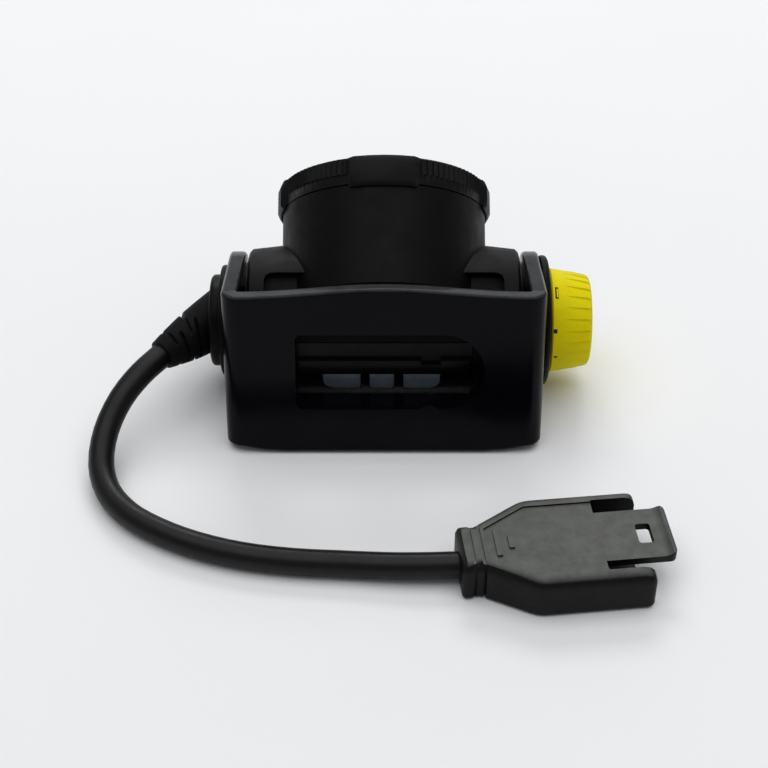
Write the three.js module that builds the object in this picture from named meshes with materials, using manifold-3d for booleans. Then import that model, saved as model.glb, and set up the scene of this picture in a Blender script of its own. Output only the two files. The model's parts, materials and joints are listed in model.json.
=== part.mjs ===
// Miner's cap lamp: tilting focus head in a yoke bracket, switch knob, side cable and plug.
// Millimetres, +Z up. +X points to the switch knob and +Y to the lens side.
import * as THREE from 'three';
import { mergeVertices } from 'three/addons/utils/BufferGeometryUtils.js';
import Module from 'manifold-3d';

const wasm = await Module();
wasm.setup();

const DEG = Math.PI / 180;

// ---------------------------------------------------------------- driving dimensions
// Yoke bracket
const YOKE_WIDTH = 58.2;
const YOKE_HEIGHT = 33.1;
const YOKE_WALL = 3.0;
const YOKE_CORNER_R = 3.2;
const YOKE_EDGE_R = 0.7;
const CROWN_RISE = 1.53;
const FOOT_RISE = 1.0;
const FOOT_FLAT = 36;
const ARM_END_R = 13.1;
const HINGE_DEPTH = 20.6;
const HINGE_UP = 17.1;

// Slide-in slot of the bracket
const SLOT_LEFT = 16;
const SLOT_RIGHT = 18.2;
const SLOT_HEIGHT = 15.1;
const SLOT_UP = 16.6;
const SLOT_CORNER_R = 1.2;
const SILL_DEPTH = 3.0;
const SILL_THICKNESS = 2.0;
const DETENT_X = 8.3;
const DETENT_WIDTH = 3.6;
const DETENT_RISE = 0.8;

// Lamp head, measured from the hinge axis along the lens axis
const HEAD_TILT = 49.3;
const BARREL_R = 19.5;
const BARREL_WALL = 4.5;
const BARREL_BACK = 3.3;
const BARREL_EDGE = 0.7;
const BARREL_EDGE_LENGTH = 1.0;
const BARREL_FRONT = 20.6;
const LED_FLOOR = 5.0;
const SEAT_LEDGE = 0.9;
const NECK_WALL = 0.9;
const NECK_LENGTH = 4.3;
const CREST_BACK = 1.6;
const CREST_CHAMFER = 0.4;
const CREST_LEVEL = 10.0;
const SHOULDER_R = 14.1;
const SHOULDER_END_R = 13.5;
const SHOULDER_CHAMFER = 0.5;
const DRUM_START = -84;
const DRUM_END = 194;
const TAIL_R = 12.9;
const SIDE_GAP = 0.8;

// Shoulder pockets
const POCKET_INNER_X = 13.0;
const POCKET_OUTER_X = 22.1;
const POCKET_BACK = 0.6;
const POCKET_FRONT = 5.7;
const POCKET_FLOOR = 10.9;
const POCKET_CORNER_R = 1.5;

// Rear cover
const COVER_HALF_X = 16.2;
const COVER_START = 122;
const COVER_END = 238;
const COVER_WALL = 1.5;
const BAR_START = 134.6;
const BAR_END = 146.4;
const BAR_RISE = 0.9;
const BAR_INSET = 0.4;
const BAR_NOTCH_X = 8.6;
const BAR_NOTCH_WIDTH = 3.6;
const BAR_NOTCH_DEPTH = 0.9;
const VENT_ANGLE = 159.7;
const VENT_HEIGHT = 5.1;
const VENTS = [
  { x: -7.85, width: 7.1, leftR: 2.2, rightR: 0.7 },
  { x: -0.4, width: 4.7, leftR: 0.7, rightR: 0.7 },
  { x: 7.0, width: 7.0, leftR: 0.7, rightR: 2.2 },
];

// Cover screws
const SCREW_ANGLE = 215;
const SCREW_HEAD_R = 1.6;
const SCREW_HEAD_DEPTH = 0.9;
const SCREW_SHANK_R = 0.8;
const SCREW_LENGTH = 5.5;
const SCREW_SLOT_WIDTH = 0.5;
const SCREW_SLOT_DEPTH = 0.4;

// Heat sink, boards and light source
const SINK_FLANGE = 3.0;
const SINK_EDGE = 1.2;
const SINK_STEM_R = 11.4;
const SINK_HALF_X = 12.2;
const SINK_HALF_Q = 8.6;
const SINK_BASE = 2.0;
const SINK_PAD_RECESS = 0.3;
const SINK_START = 80;
const SINK_END = 280;
const FIN_COUNT = 5;
const FIN_GAP = 1.3;
const CHAMBER_DEPTH = 0.5;
const BOARD_THICKNESS = 1.0;
const BOARD_EDGE = 0.6;
const LED_SIZE = 5.0;
const LED_BASE = 0.9;
const LED_DOME_R = 1.7;
const DRIVER_GAP = 1.6;
const DRIVER_BACK = -8.0;
const DRIVER_HALF_Q = 6.4;
const DRIVER_LENGTH = 10.0;

// Lens group
const CARRIER_BACK = 10.6;
const CARRIER_LENGTH = 8.0;
const CARRIER_WALL = 1.4;
const CARRIER_LEDGE = 1.2;
const CARRIER_LEDGE_WIDTH = 1.6;
const LENS_RIM = 2.0;
const LENS_SAG = 4.6;
const LENS_CLIP_WIDTH = 0.8;

// Front window
const WINDOW_THICKNESS = 1.6;
const SEAL_SIZE = 0.8;
const SEAL_WIDTH = 0.7;
const BEZEL_RECESS = 0.6;
const BEZEL_FLANGE = 1.0;
const BEZEL_OVERHANG = 0.7;
const BEZEL_RIM = 1.3;
const BEZEL_CONE = 0.4;
const O_RING_SECTION = 0.35;

// Focus ring; the rises count from the barrel outwards
const RING_LENGTH = 5.2;
const RING_BAND = 1.7;
const BAND_RISE = -0.1;
const RIB_DEPTH = 0.35;
const RIB_TAPER = 0.15;
const RIBS_PER_SECTOR = 14;
const LOBE_COUNT = 4;
const LOBE_RISE = 1.0;
const LOBE_HALF_ANGLE = 16.6;
const LOBE_RUNOUT = 4.2;
const LOBE_TAB = 0.4;
const LOBE_BACK_LENGTH = 0.8;
const LOBE_BACK_FALL = 0.5;
const LOBE_NOSE_LENGTH = 1.6;
const LOBE_NOSE_FALL = 0.5;
const RING_CHAMFER = 0.3;

// Hinge
const TRUNNION_R = 6.5;
const TRUNNION_GRIP = 3.4;
const WASHER_R = 11.4;
const WASHER_THICKNESS = 0.5;
const COLLAR_R = 12.4;
const COLLAR_THICKNESS = 1.5;
const COLLAR_EDGE_R = 0.9;
const FLANGE_R = 7.4;
const FLANGE_THICKNESS = 1.0;
const WIRE_BORE_R = 3.2;

// Switch knob
const KNOB_BASE_R = 9.9;
const KNOB_END_R = 8.7;
const KNOB_LENGTH = 7.65;
const KNOB_BAND = 2.4;
const KNOB_EDGE_R = 0.9;
const FLUTES = 26;
const FLUTE_DEPTH = 0.3;
const FLUTE_PROFILE = [[0, 0], [0.1, 1], [0.5, 0.25]];
const SHAFT_R = 2.4;
const SPINDLE_R = 1.45;
const SHAFT_GRIP = 5.2;
const SWITCH_R = 6.1;
const SWITCH_LENGTH = 4.0;

// Cable gland and strain relief
const BOSS_R = 10.5;
const BOSS_THICKNESS = 1.6;
const NUT_R = 8.7;
const NUT_THICKNESS = 2.0;
const NUT_EDGE_R = 0.8;
const BOOT_ROOT_R = 6.1;
const BOOT_TIP_R = 2.9;
const BOOT_REACH = [8.8, 8.9, 2.9];
const BOOT_SIDES = 24;
const BOOT_SLOT_ROWS = 4;
const BOOT_SLOT_START = 0.3;
const BOOT_SLOT_PITCH = 0.16;
const BOOT_SLOT_SHARE = 0.45;
const BOOT_SLOT_ANGLE = 110;
const BOOT_SLOT_DEPTH = 1.1;

// Cable
const CORD_R = 2.35;
const CORD_SIDES = 8;
const CORD_STEPS = 38;
const CORD_ROUTE = [
  [-44.83, -14.27, 12],
  [-48.1, -18.41, 11.2],
  [-51.4, -23.11, 9.2],
  [-53.8, -28.71, 6.2],
  [-54.2, -34.91, 3.6],
  [-52.2, -41.01, 2.5],
  [-48.2, -46.32, 2.4],
  [-42.6, -50.51, 2.4],
  [-35.6, -54.01, 2.4],
  [-27.8, -56.51, 2.4],
  [-19, -58.01, 2.4],
  [-9.6, -58.76, 2.5],
  [-3, -59.36, 2.75],
  [3, -59.71, 3.05],
  [9.2, -59.64, 3.2],
];

// Plug
const PLUG_PLACE = [9.53, -59.615];
const PLUG_YAW = 6.2;
const PLUG_HEIGHT = 8.0;
const PLUG_HALF_WIDTH = 10.6;
const PLUG_LENGTH = 32.0;
const PLUG_TOP_R = 2.0;
const PLUG_FOOT_R = 1.0;
const PLUG_CORNER_R = 1.2;
const PLUG_FLANGE_CORNER = 0.8;
const PLUG_FLANGE_HALF = 5.35;
const PLUG_FLANGE_LENGTH = 1.9;
const PLUG_NECK_HALF = 5.1;
const PLUG_TAPER_START = 3.1;
const PLUG_TAPER_END = 12.2;
const PLUG_TAPER_ROUND = 1.4;
const PLUG_GROOVES = [1.9, 3.5];
const PLUG_GROOVE_WIDTH = 0.5;
const PLUG_GROOVE_DEPTH = 0.35;
const PLUG_WALL = 1.5;
const PLUG_FLOOR_END = 30.4;
const RAIL_WIDTH = 2.3;
const PANEL_START = 4.6;
const PANEL_MARGIN = 2.6;
const PANEL_DEPTH = 0.35;
const PANEL_BARS = [
  { x: 6.1, half: 3.1 },
  { x: 8.4, half: 1.5 },
];
const PANEL_BAR_WIDTH = 0.9;
const SOCKET_BACK = 19.0;
const TONGUE_BACK = 24.0;
const TONGUE_END = 36.3;
const TONGUE_HALF = 5.75;
const TONGUE_TOP = 7.4;
const TONGUE_THICKNESS = 1.4;
const TONGUE_CORNER_R = 1.2;
const TONGUE_LIP = 2.5;
const TONGUE_LIP_RISE = 0.65;
const TONGUE_WINDOW = { from: 30.5, to: 33.05, width: 4.5, corner: 0.5 };
const CONTACTS = 2;
const CONTACT_PITCH = 4.6;
const CONTACT_WIDTH = 1.6;
const CONTACT_THICKNESS = 0.8;
const CONTACT_REACH = 6.0;
const CONTACT_ROOT = 3.8;
const CONTACT_BLOCK = 6.0;

// Clearances
const FIT = 0.1;
const RUN = 0.3;
const LOOSE = 0.2;
const CLOSE = 0.05;
const SEAT_ANGLE_GAP = 0.6;
const JOIN = 0.5;
const PAST = 1;
const WIDE = 30;

const ROUND = 32;
const SMALL_ROUND = 20;
const FINE_ROUND = 40;

// ---------------------------------------------------------------- sizes that follow
const HALF_WIDTH = YOKE_WIDTH / 2;
const ARM_INNER = HALF_WIDTH - YOKE_WALL;
const HINGE_HOLE_R = TRUNNION_R + RUN;

const SHOULDER_X = ARM_INNER - SIDE_GAP;
const BARREL_BORE_R = BARREL_R - BARREL_WALL;
const BARREL_HEEL_R = BARREL_R - BARREL_EDGE;
const BARREL_HEEL = Math.hypot(BARREL_HEEL_R, BARREL_BACK);
const WINDOW_SEAT_R = BARREL_BORE_R + SEAT_LEDGE;
const NECK_R = WINDOW_SEAT_R + NECK_WALL;
const NECK_FRONT = BARREL_FRONT + NECK_LENGTH;
const WINDOW_SEAT = NECK_FRONT - SEAL_SIZE - WINDOW_THICKNESS - BEZEL_RECESS;
const SEAL_FRONT = WINDOW_SEAT + SEAL_SIZE;
const WINDOW_FRONT = SEAL_FRONT + WINDOW_THICKNESS;
const BEZEL_R = NECK_R + BEZEL_OVERHANG;
const O_RING_R = NECK_R + RUN - O_RING_SECTION - CLOSE;
const O_RING_BACK = BARREL_FRONT + RUN;
const O_RING_GROOVE_R = O_RING_R - O_RING_SECTION - CLOSE;

const SINK_R = BARREL_BORE_R - SINK_EDGE;
const SINK_BACK = LED_FLOOR - SINK_FLANGE;
const BOARD_FRONT = LED_FLOOR + BOARD_THICKNESS;
const CARRIER_R = BARREL_BORE_R - LOOSE;
const CARRIER_FRONT = CARRIER_BACK + CARRIER_LENGTH;
const LENS_SEAT_R = CARRIER_R - CARRIER_WALL;
const LENS_R = LENS_SEAT_R - LOOSE;
const LENS_BACK = CARRIER_BACK + CARRIER_LEDGE;
const LENS_SPHERE = (LENS_R ** 2 + LENS_SAG ** 2) / (2 * LENS_SAG);

const RING_BACK = BARREL_FRONT + RUN;
const RING_FRONT = RING_BACK + RING_LENGTH;
const KNURL_BACK = RING_BACK + RING_BAND;
const TAB_BACK = BARREL_FRONT - LOBE_TAB;
const BAND_R = BARREL_R + BAND_RISE;

const TRUNNION_INNER = SHOULDER_X - TRUNNION_GRIP;
const COLLAR_INNER = HALF_WIDTH + RUN;
const COLLAR_OUTER = COLLAR_INNER + COLLAR_THICKNESS;
const SHAFT_BORE_R = SHAFT_R + RUN;
const FLANGE_INNER = -HALF_WIDTH - RUN;
const DRIVER_X = TRUNNION_INNER - DRIVER_GAP;
const SCREW_X = (SINK_HALF_X + RUN + COVER_HALF_X) / 2;
const KNOB_START = COLLAR_OUTER + RUN;
const SWITCH_BACK = TRUNNION_INNER - RUN - SWITCH_LENGTH;
const BOSS_OUTER = -HALF_WIDTH - BOSS_THICKNESS;
const NUT_OUTER = BOSS_OUTER - NUT_THICKNESS;

const PLUG_SPLIT = PLUG_HEIGHT / 2;
const PLUG_ROOF = PLUG_HEIGHT - PLUG_WALL;
const SOCKET_HALF = PLUG_HALF_WIDTH - RAIL_WIDTH;
const TONGUE_BOTTOM = TONGUE_TOP - TONGUE_THICKNESS;

// ---------------------------------------------------------------- materials
const paint = (color, roughness, metalness = 0) =>
  new THREE.MeshStandardMaterial({ color, roughness, metalness });
const FINISH = {
  glossBlack: () => paint(0x0c0c0d, 0.22),
  mattBlack: () => paint(0x17181a, 0.62),
  rubber: () => paint(0x1b1c1e, 0.75),
  yellow: () => paint(0xd9d20c, 0.45),
  aluminium: () => paint(0xb4b8bc, 0.35, 1),
  steel: () => paint(0x9c9fa3, 0.3, 1),
  brass: () => paint(0xc7a24c, 0.3, 1),
  clear: () => paint(0xdfe8ee, 0.05),
  board: () => paint(0x2f5a3a, 0.5),
  white: () => paint(0xe9e9e6, 0.5),
};

// ---------------------------------------------------------------- solid helpers
function toSolid(geometry) {
  const bare = geometry.clone();
  bare.deleteAttribute('normal');
  bare.deleteAttribute('uv');
  const merged = mergeVertices(bare, 1e-4);
  const vertProperties = new Float32Array(merged.attributes.position.array);
  const triVerts = new Uint32Array(merged.index.array);
  if (signedVolume(vertProperties, triVerts) < 0) {
    for (let i = 0; i < triVerts.length; i += 3) {
      const swap = triVerts[i];
      triVerts[i] = triVerts[i + 1];
      triVerts[i + 1] = swap;
    }
  }
  return new wasm.Manifold(new wasm.Mesh({ numProp: 3, vertProperties, triVerts }));
}

function signedVolume(points, triangles) {
  const a = new THREE.Vector3();
  const b = new THREE.Vector3();
  const c = new THREE.Vector3();
  let sum = 0;
  for (let i = 0; i < triangles.length; i += 3) {
    a.fromArray(points, triangles[i] * 3);
    b.fromArray(points, triangles[i + 1] * 3);
    c.fromArray(points, triangles[i + 2] * 3);
    sum += a.dot(b.cross(c));
  }
  return sum / 6;
}

function toGeometry(solid) {
  const mesh = solid.getMesh();
  const geometry = new THREE.BufferGeometry();
  geometry.setAttribute('position', new THREE.BufferAttribute(mesh.vertProperties, 3));
  geometry.setIndex(new THREE.BufferAttribute(mesh.triVerts, 1));
  const flat = geometry.toNonIndexed();
  flat.computeVertexNormals();
  return flat;
}

function addPiece(parent, name, solid, material) {
  const mesh = new THREE.Mesh(toGeometry(solid), material);
  mesh.name = name;
  parent.add(mesh);
  return mesh;
}

const union = (...solids) => solids.reduce((sum, next) => sum.add(next));
const cut = (body, ...tools) => tools.reduce((rest, tool) => rest.subtract(tool), body);

function shapeOf(points) {
  return new THREE.Shape(points.map(([u, v]) => new THREE.Vector2(u, v)));
}

function roundedRect(halfU, halfV, radius, u = 0, v = 0) {
  const shape = new THREE.Shape();
  shape.moveTo(u - halfU + radius, v - halfV);
  shape.lineTo(u + halfU - radius, v - halfV);
  shape.absarc(u + halfU - radius, v - halfV + radius, radius, -90 * DEG, 0);
  shape.lineTo(u + halfU, v + halfV - radius);
  shape.absarc(u + halfU - radius, v + halfV - radius, radius, 0, 90 * DEG);
  shape.lineTo(u - halfU + radius, v + halfV);
  shape.absarc(u - halfU + radius, v + halfV - radius, radius, 90 * DEG, 180 * DEG);
  shape.lineTo(u - halfU, v - halfV + radius);
  shape.absarc(u - halfU + radius, v - halfV + radius, radius, 180 * DEG, 270 * DEG);
  return shape;
}

function prism(shape, from, to, curveSegments = 8) {
  const geometry = new THREE.ExtrudeGeometry(shape, {
    depth: to - from,
    bevelEnabled: false,
    curveSegments,
  });
  geometry.translate(0, 0, from);
  return geometry;
}

// Extrudes an outline drawn in (y, z) along x.
function prismX(shape, from, to, curveSegments) {
  const geometry = prism(shape, from, to, curveSegments);
  const turn = new THREE.Matrix4().makeBasis(
    new THREE.Vector3(0, 1, 0),
    new THREE.Vector3(0, 0, 1),
    new THREE.Vector3(1, 0, 0),
  );
  return toSolid(geometry.applyMatrix4(turn));
}

// Extrudes an outline drawn in (x, z) along y.
function prismY(shape, from, to, curveSegments) {
  const geometry = prism(shape, -to, -from, curveSegments);
  return toSolid(geometry.rotateX(90 * DEG));
}

function prismZ(shape, from, to, curveSegments) {
  return toSolid(prism(shape, from, to, curveSegments));
}

function rodX(radius, from, to, segments = SMALL_ROUND) {
  const geometry = new THREE.CylinderGeometry(radius, radius, to - from, segments);
  geometry.rotateZ(-90 * DEG);
  geometry.translate((from + to) / 2, 0, 0);
  return toSolid(geometry);
}

function box(x0, x1, y0, y1, z0, z1) {
  const geometry = new THREE.BoxGeometry(x1 - x0, y1 - y0, z1 - z0);
  geometry.translate((x0 + x1) / 2, (y0 + y1) / 2, (z0 + z1) / 2);
  return toSolid(geometry);
}

// Revolves a closed outline of [radius, height] points about z.
function revolve(outline, segments = ROUND) {
  const points = [...outline, outline[0]].map(([r, z]) => new THREE.Vector2(Math.max(r, 0), z));
  const geometry = new THREE.LatheGeometry(points, segments);
  return toSolid(geometry.rotateX(90 * DEG));
}

const ringZ = (inner, outer, from, to, segments = ROUND) =>
  revolve([[inner, from], [outer, from], [outer, to], [inner, to]], segments);

// Revolves a closed outline of [radius, x] points about x.
const revolveX = (outline, segments = ROUND) =>
  toSolid(toGeometry(revolve(outline, segments)).rotateY(90 * DEG));

const ringX = (inner, outer, from, to, segments = ROUND) =>
  revolveX([[inner, from], [outer, from], [outer, to], [inner, to]], segments);

// A disc about x with a bore and one rounded outer edge, on its face at `to`.
function roundedRingX(inner, outer, from, to, edge, steps = 4) {
  const side = Math.sign(to - from);
  const outline = [[inner, from], [outer, from]];
  for (let i = 0; i <= steps; i += 1) {
    const angle = ((90 * i) / steps) * DEG;
    outline.push([
      outer - edge + edge * Math.cos(angle),
      to - side * edge + side * edge * Math.sin(angle),
    ]);
  }
  outline.push([inner, to]);
  return revolveX(outline);
}

// Skins a row of equal point rings into one closed body with fanned ends.
function loft(rings) {
  const count = rings[0].length;
  const points = rings.flat();
  const faces = [];
  for (let i = 0; i + 1 < rings.length; i += 1) {
    for (let j = 0; j < count; j += 1) {
      const a = i * count + j;
      const b = i * count + ((j + 1) % count);
      faces.push(a, b, b + count);
      faces.push(a, b + count, a + count);
    }
  }
  const lastStart = (rings.length - 1) * count;
  for (const [start, ring, flip] of [[0, rings[0], true], [lastStart, rings.at(-1), false]]) {
    const centre = new THREE.Vector3();
    ring.forEach((point) => centre.addScaledVector(point, 1 / count));
    const hub = points.length;
    points.push(centre);
    for (let j = 0; j < count; j += 1) {
      const a = start + j;
      const b = start + ((j + 1) % count);
      faces.push(...(flip ? [hub, b, a] : [hub, a, b]));
    }
  }
  const geometry = new THREE.BufferGeometry().setFromPoints(points);
  geometry.setIndex(faces);
  return toSolid(geometry);
}

// ---------------------------------------------------------------- frames
const lamp = new THREE.Group();
lamp.name = 'cap_lamp';

// Slope of the straight edge that runs from a plate corner onto the round arm end.
function armSlope(startDepth, startHeight) {
  const depth = HINGE_DEPTH - startDepth;
  const distance = Math.hypot(depth, startHeight);
  return Math.atan2(startHeight, depth) - Math.asin(ARM_END_R / distance);
}

// The bracket stands on its foot and on both round arm ends, which makes it lean.
const LEAN = armSlope(YOKE_WALL - YOKE_EDGE_R / 2, HINGE_UP);

const stand = new THREE.Group();
stand.rotation.x = -LEAN;
lamp.add(stand);

const hinge = new THREE.Group();
hinge.position.set(0, HINGE_DEPTH, HINGE_UP);
stand.add(hinge);

// In the head's own frame z is the lens axis and -y its upper side.
const head = new THREE.Group();
head.rotation.x = (HEAD_TILT - 90) * DEG;
hinge.add(head);

// ---------------------------------------------------------------- bracket
function wallSection(bottom, top) {
  const radius = Math.min(YOKE_EDGE_R, (top - bottom) * 0.49);
  const steps = 3;
  const corners = [
    [YOKE_WALL - radius, bottom + radius, -90],
    [YOKE_WALL - radius, top - radius, 0],
    [radius, top - radius, 90],
    [radius, bottom + radius, 180],
  ];
  const section = [];
  for (const [u, v, start] of corners) {
    for (let i = 0; i <= steps; i += 1) {
      const angle = (start + (90 * i) / steps) * DEG;
      section.push([u + radius * Math.cos(angle), v + radius * Math.sin(angle)]);
    }
  }
  return section;
}

function plateTop(x) {
  // Highest in the middle, with a soft fall to both corners.
  const share = Math.min(1, Math.abs(x) / (HALF_WIDTH - YOKE_CORNER_R));
  return YOKE_HEIGHT - (CROWN_RISE * (1 - Math.cos(Math.PI * share))) / 2;
}

function plateFoot(x) {
  const start = FOOT_FLAT / 2;
  const share = (Math.abs(x) - start) / (HALF_WIDTH - YOKE_CORNER_R - start);
  return FOOT_RISE * Math.min(1, Math.max(0, share)) ** 2;
}

function armEdge(depth, startHeight) {
  const slope = armSlope(YOKE_CORNER_R, startHeight);
  const tangent = HINGE_DEPTH + ARM_END_R * Math.sin(slope);
  if (depth <= tangent) {
    return startHeight - Math.max(0, depth - YOKE_CORNER_R) * Math.tan(slope);
  }
  return Math.sqrt(Math.max(0, ARM_END_R ** 2 - (depth - HINGE_DEPTH) ** 2));
}

function yokeStations() {
  const stations = [];
  const topStart = YOKE_HEIGHT - CROWN_RISE - HINGE_UP;
  const footStart = HINGE_UP - FOOT_RISE;
  const arm = [];
  const endSteps = 9;
  const armSteps = 3;
  for (let i = 0; i < armSteps; i += 1) {
    arm.push(YOKE_CORNER_R + ((HINGE_DEPTH - YOKE_CORNER_R) * i) / armSteps);
  }
  for (let i = 0; i <= endSteps; i += 1) {
    const angle = ((88.5 * i) / endSteps) * DEG;
    arm.push(HINGE_DEPTH + ARM_END_R * Math.sin(angle));
  }
  const armStation = (side, depth) => ({
    x: side * HALF_WIDTH,
    y: depth,
    nx: -side,
    ny: 0,
    top: HINGE_UP + armEdge(depth, topStart),
    foot: HINGE_UP - armEdge(depth, footStart),
  });
  const cornerSteps = 5;
  const cornerStation = (side, i) => {
    const angle = ((90 * i) / cornerSteps) * DEG;
    const nx = -side * Math.cos(angle);
    const ny = Math.sin(angle);
    const x = side * (HALF_WIDTH - YOKE_CORNER_R) - YOKE_CORNER_R * nx;
    const y = YOKE_CORNER_R - YOKE_CORNER_R * ny;
    return { x, y, nx, ny, top: plateTop(HALF_WIDTH), foot: plateFoot(HALF_WIDTH) };
  };
  [...arm].reverse().forEach((depth) => stations.push(armStation(-1, depth)));
  for (let i = 1; i < cornerSteps; i += 1) {
    stations.push(cornerStation(-1, i));
  }
  const plateSteps = 14;
  for (let i = 0; i <= plateSteps; i += 1) {
    const x = (HALF_WIDTH - YOKE_CORNER_R) * ((2 * i) / plateSteps - 1);
    stations.push({ x, y: 0, nx: 0, ny: 1, top: plateTop(x), foot: plateFoot(x) });
  }
  for (let i = cornerSteps - 1; i > 0; i -= 1) {
    stations.push(cornerStation(1, i));
  }
  arm.forEach((depth) => stations.push(armStation(1, depth)));
  return stations;
}

function slotShape() {
  const half = SLOT_HEIGHT / 2;
  const low = SLOT_UP - half;
  const high = SLOT_UP + half;
  const shape = new THREE.Shape();
  shape.moveTo(-SLOT_LEFT + SLOT_CORNER_R, low);
  shape.lineTo(DETENT_X - DETENT_WIDTH / 2, low);
  shape.quadraticCurveTo(DETENT_X, low + 2 * DETENT_RISE, DETENT_X + DETENT_WIDTH / 2, low);
  shape.lineTo(SLOT_RIGHT - half, low);
  shape.absarc(SLOT_RIGHT - half, SLOT_UP, half, -90 * DEG, 90 * DEG);
  shape.lineTo(-SLOT_LEFT + SLOT_CORNER_R, high);
  shape.absarc(-SLOT_LEFT + SLOT_CORNER_R, high - SLOT_CORNER_R, SLOT_CORNER_R, 90 * DEG, 180 * DEG);
  shape.lineTo(-SLOT_LEFT, low + SLOT_CORNER_R);
  shape.absarc(-SLOT_LEFT + SLOT_CORNER_R, low + SLOT_CORNER_R, SLOT_CORNER_R, 180 * DEG, 270 * DEG);
  return shape;
}

function buildBracket() {
  const rings = yokeStations().map((station) =>
    wallSection(station.foot, station.top).map(
      ([depth, z]) =>
        new THREE.Vector3(station.x + station.nx * depth, station.y + station.ny * depth, z),
    ),
  );
  const slotFloor = SLOT_UP - SLOT_HEIGHT / 2;
  const sill = box(
    -SLOT_LEFT, SLOT_LEFT,
    YOKE_WALL - JOIN, YOKE_WALL + SILL_DEPTH, slotFloor - SILL_THICKNESS, slotFloor,
  );
  const slot = prismY(slotShape(), -PAST, YOKE_WALL + PAST, 12);
  const holes = rodX(HINGE_HOLE_R, -HALF_WIDTH - PAST, HALF_WIDTH + PAST, ROUND);
  const plate = cut(loft(rings), slot, holes.translate([0, HINGE_DEPTH, HINGE_UP]));
  const yoke = union(plate, sill);
  addPiece(stand, 'bracket', yoke, FINISH.glossBlack());
}

// ---------------------------------------------------------------- head housing
// Points on an arc about the hinge axis, in (y, z) of the head, for angles from the lens axis.
function hingeArc(radius, from, to, steps) {
  const points = [];
  for (let i = 0; i <= steps; i += 1) {
    const angle = (from + ((to - from) * i) / steps) * DEG;
    points.push([-radius * Math.sin(angle), radius * Math.cos(angle)]);
  }
  return points;
}

function hingeSector(inner, outer, from, to, halfX, steps = 10) {
  const outline = [
    ...hingeArc(outer, from, to, steps),
    ...hingeArc(inner, to, from, steps),
  ];
  return prismX(shapeOf(outline), -halfX, halfX);
}

function barrelOutline() {
  // A cone leads from the barrel to the round tail that swings inside the bracket.
  const cone = Math.atan2(BARREL_HEEL_R, BARREL_BACK) + Math.acos(TAIL_R / BARREL_HEEL);
  const flatEnd = 165 * DEG;
  const tailSteps = 3;
  const tail = [];
  for (let i = 0; i <= tailSteps; i += 1) {
    const angle = flatEnd + ((cone - flatEnd) * i) / tailSteps;
    tail.push([TAIL_R * Math.sin(angle), TAIL_R * Math.cos(angle)]);
  }
  return [
    [0, tail[0][1]],
    ...tail,
    [BARREL_HEEL_R, BARREL_BACK],
    [BARREL_R, BARREL_BACK + BARREL_EDGE_LENGTH],
    [BARREL_R, BARREL_FRONT],
    [NECK_R, BARREL_FRONT],
    [NECK_R, O_RING_BACK - FIT],
    [O_RING_GROOVE_R, O_RING_BACK - FIT],
    [O_RING_GROOVE_R, O_RING_BACK + 2 * O_RING_SECTION + FIT],
    [NECK_R, O_RING_BACK + 2 * O_RING_SECTION + FIT],
    [NECK_R, NECK_FRONT],
    [WINDOW_SEAT_R, NECK_FRONT],
    [WINDOW_SEAT_R, WINDOW_SEAT],
    [BARREL_BORE_R, WINDOW_SEAT],
    [BARREL_BORE_R, LED_FLOOR],
    [SINK_R + FIT, LED_FLOOR],
    [SINK_R + FIT, SINK_BACK],
    [0, SINK_BACK],
  ];
}

// Raises the upper side of the barrel's back end, above the plate of the bracket.
function buildCrest() {
  const collar = revolve([
    [0, CREST_BACK],
    [BARREL_R - CREST_CHAMFER, CREST_BACK],
    [BARREL_R, CREST_BACK + CREST_CHAMFER],
    [BARREL_R, BARREL_BACK + BARREL_EDGE_LENGTH],
    [0, BARREL_BACK + BARREL_EDGE_LENGTH],
  ], FINE_ROUND);
  return collar.intersect(box(-WIDE, WIDE, -WIDE, -CREST_LEVEL, -WIDE, WIDE));
}

// A drum about the hinge axis, cut back to the tail's radius underneath.
function buildShoulders() {
  const drum = revolveX([
    [0, -SHOULDER_X],
    [SHOULDER_END_R - SHOULDER_CHAMFER, -SHOULDER_X],
    [SHOULDER_END_R, -SHOULDER_X + SHOULDER_CHAMFER],
    [SHOULDER_R, -BARREL_R],
    [SHOULDER_R, BARREL_R],
    [SHOULDER_END_R, SHOULDER_X - SHOULDER_CHAMFER],
    [SHOULDER_END_R - SHOULDER_CHAMFER, SHOULDER_X],
    [0, SHOULDER_X],
  ], FINE_ROUND);
  const underneath = hingeSector(
    TAIL_R, SHOULDER_R + PAST, DRUM_END, 360 + DRUM_START, WIDE, 8,
  );
  const pockets = [-1, 1].map((side) => {
    const shape = roundedRect(
      (POCKET_OUTER_X - POCKET_INNER_X) / 2, (POCKET_FRONT - POCKET_BACK) / 2, POCKET_CORNER_R,
      (side * (POCKET_OUTER_X + POCKET_INNER_X)) / 2, (POCKET_FRONT + POCKET_BACK) / 2,
    );
    return prismY(shape, -SHOULDER_R - PAST, -POCKET_FLOOR, 3);
  });
  return cut(drum, underneath, ...pockets);
}

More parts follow.
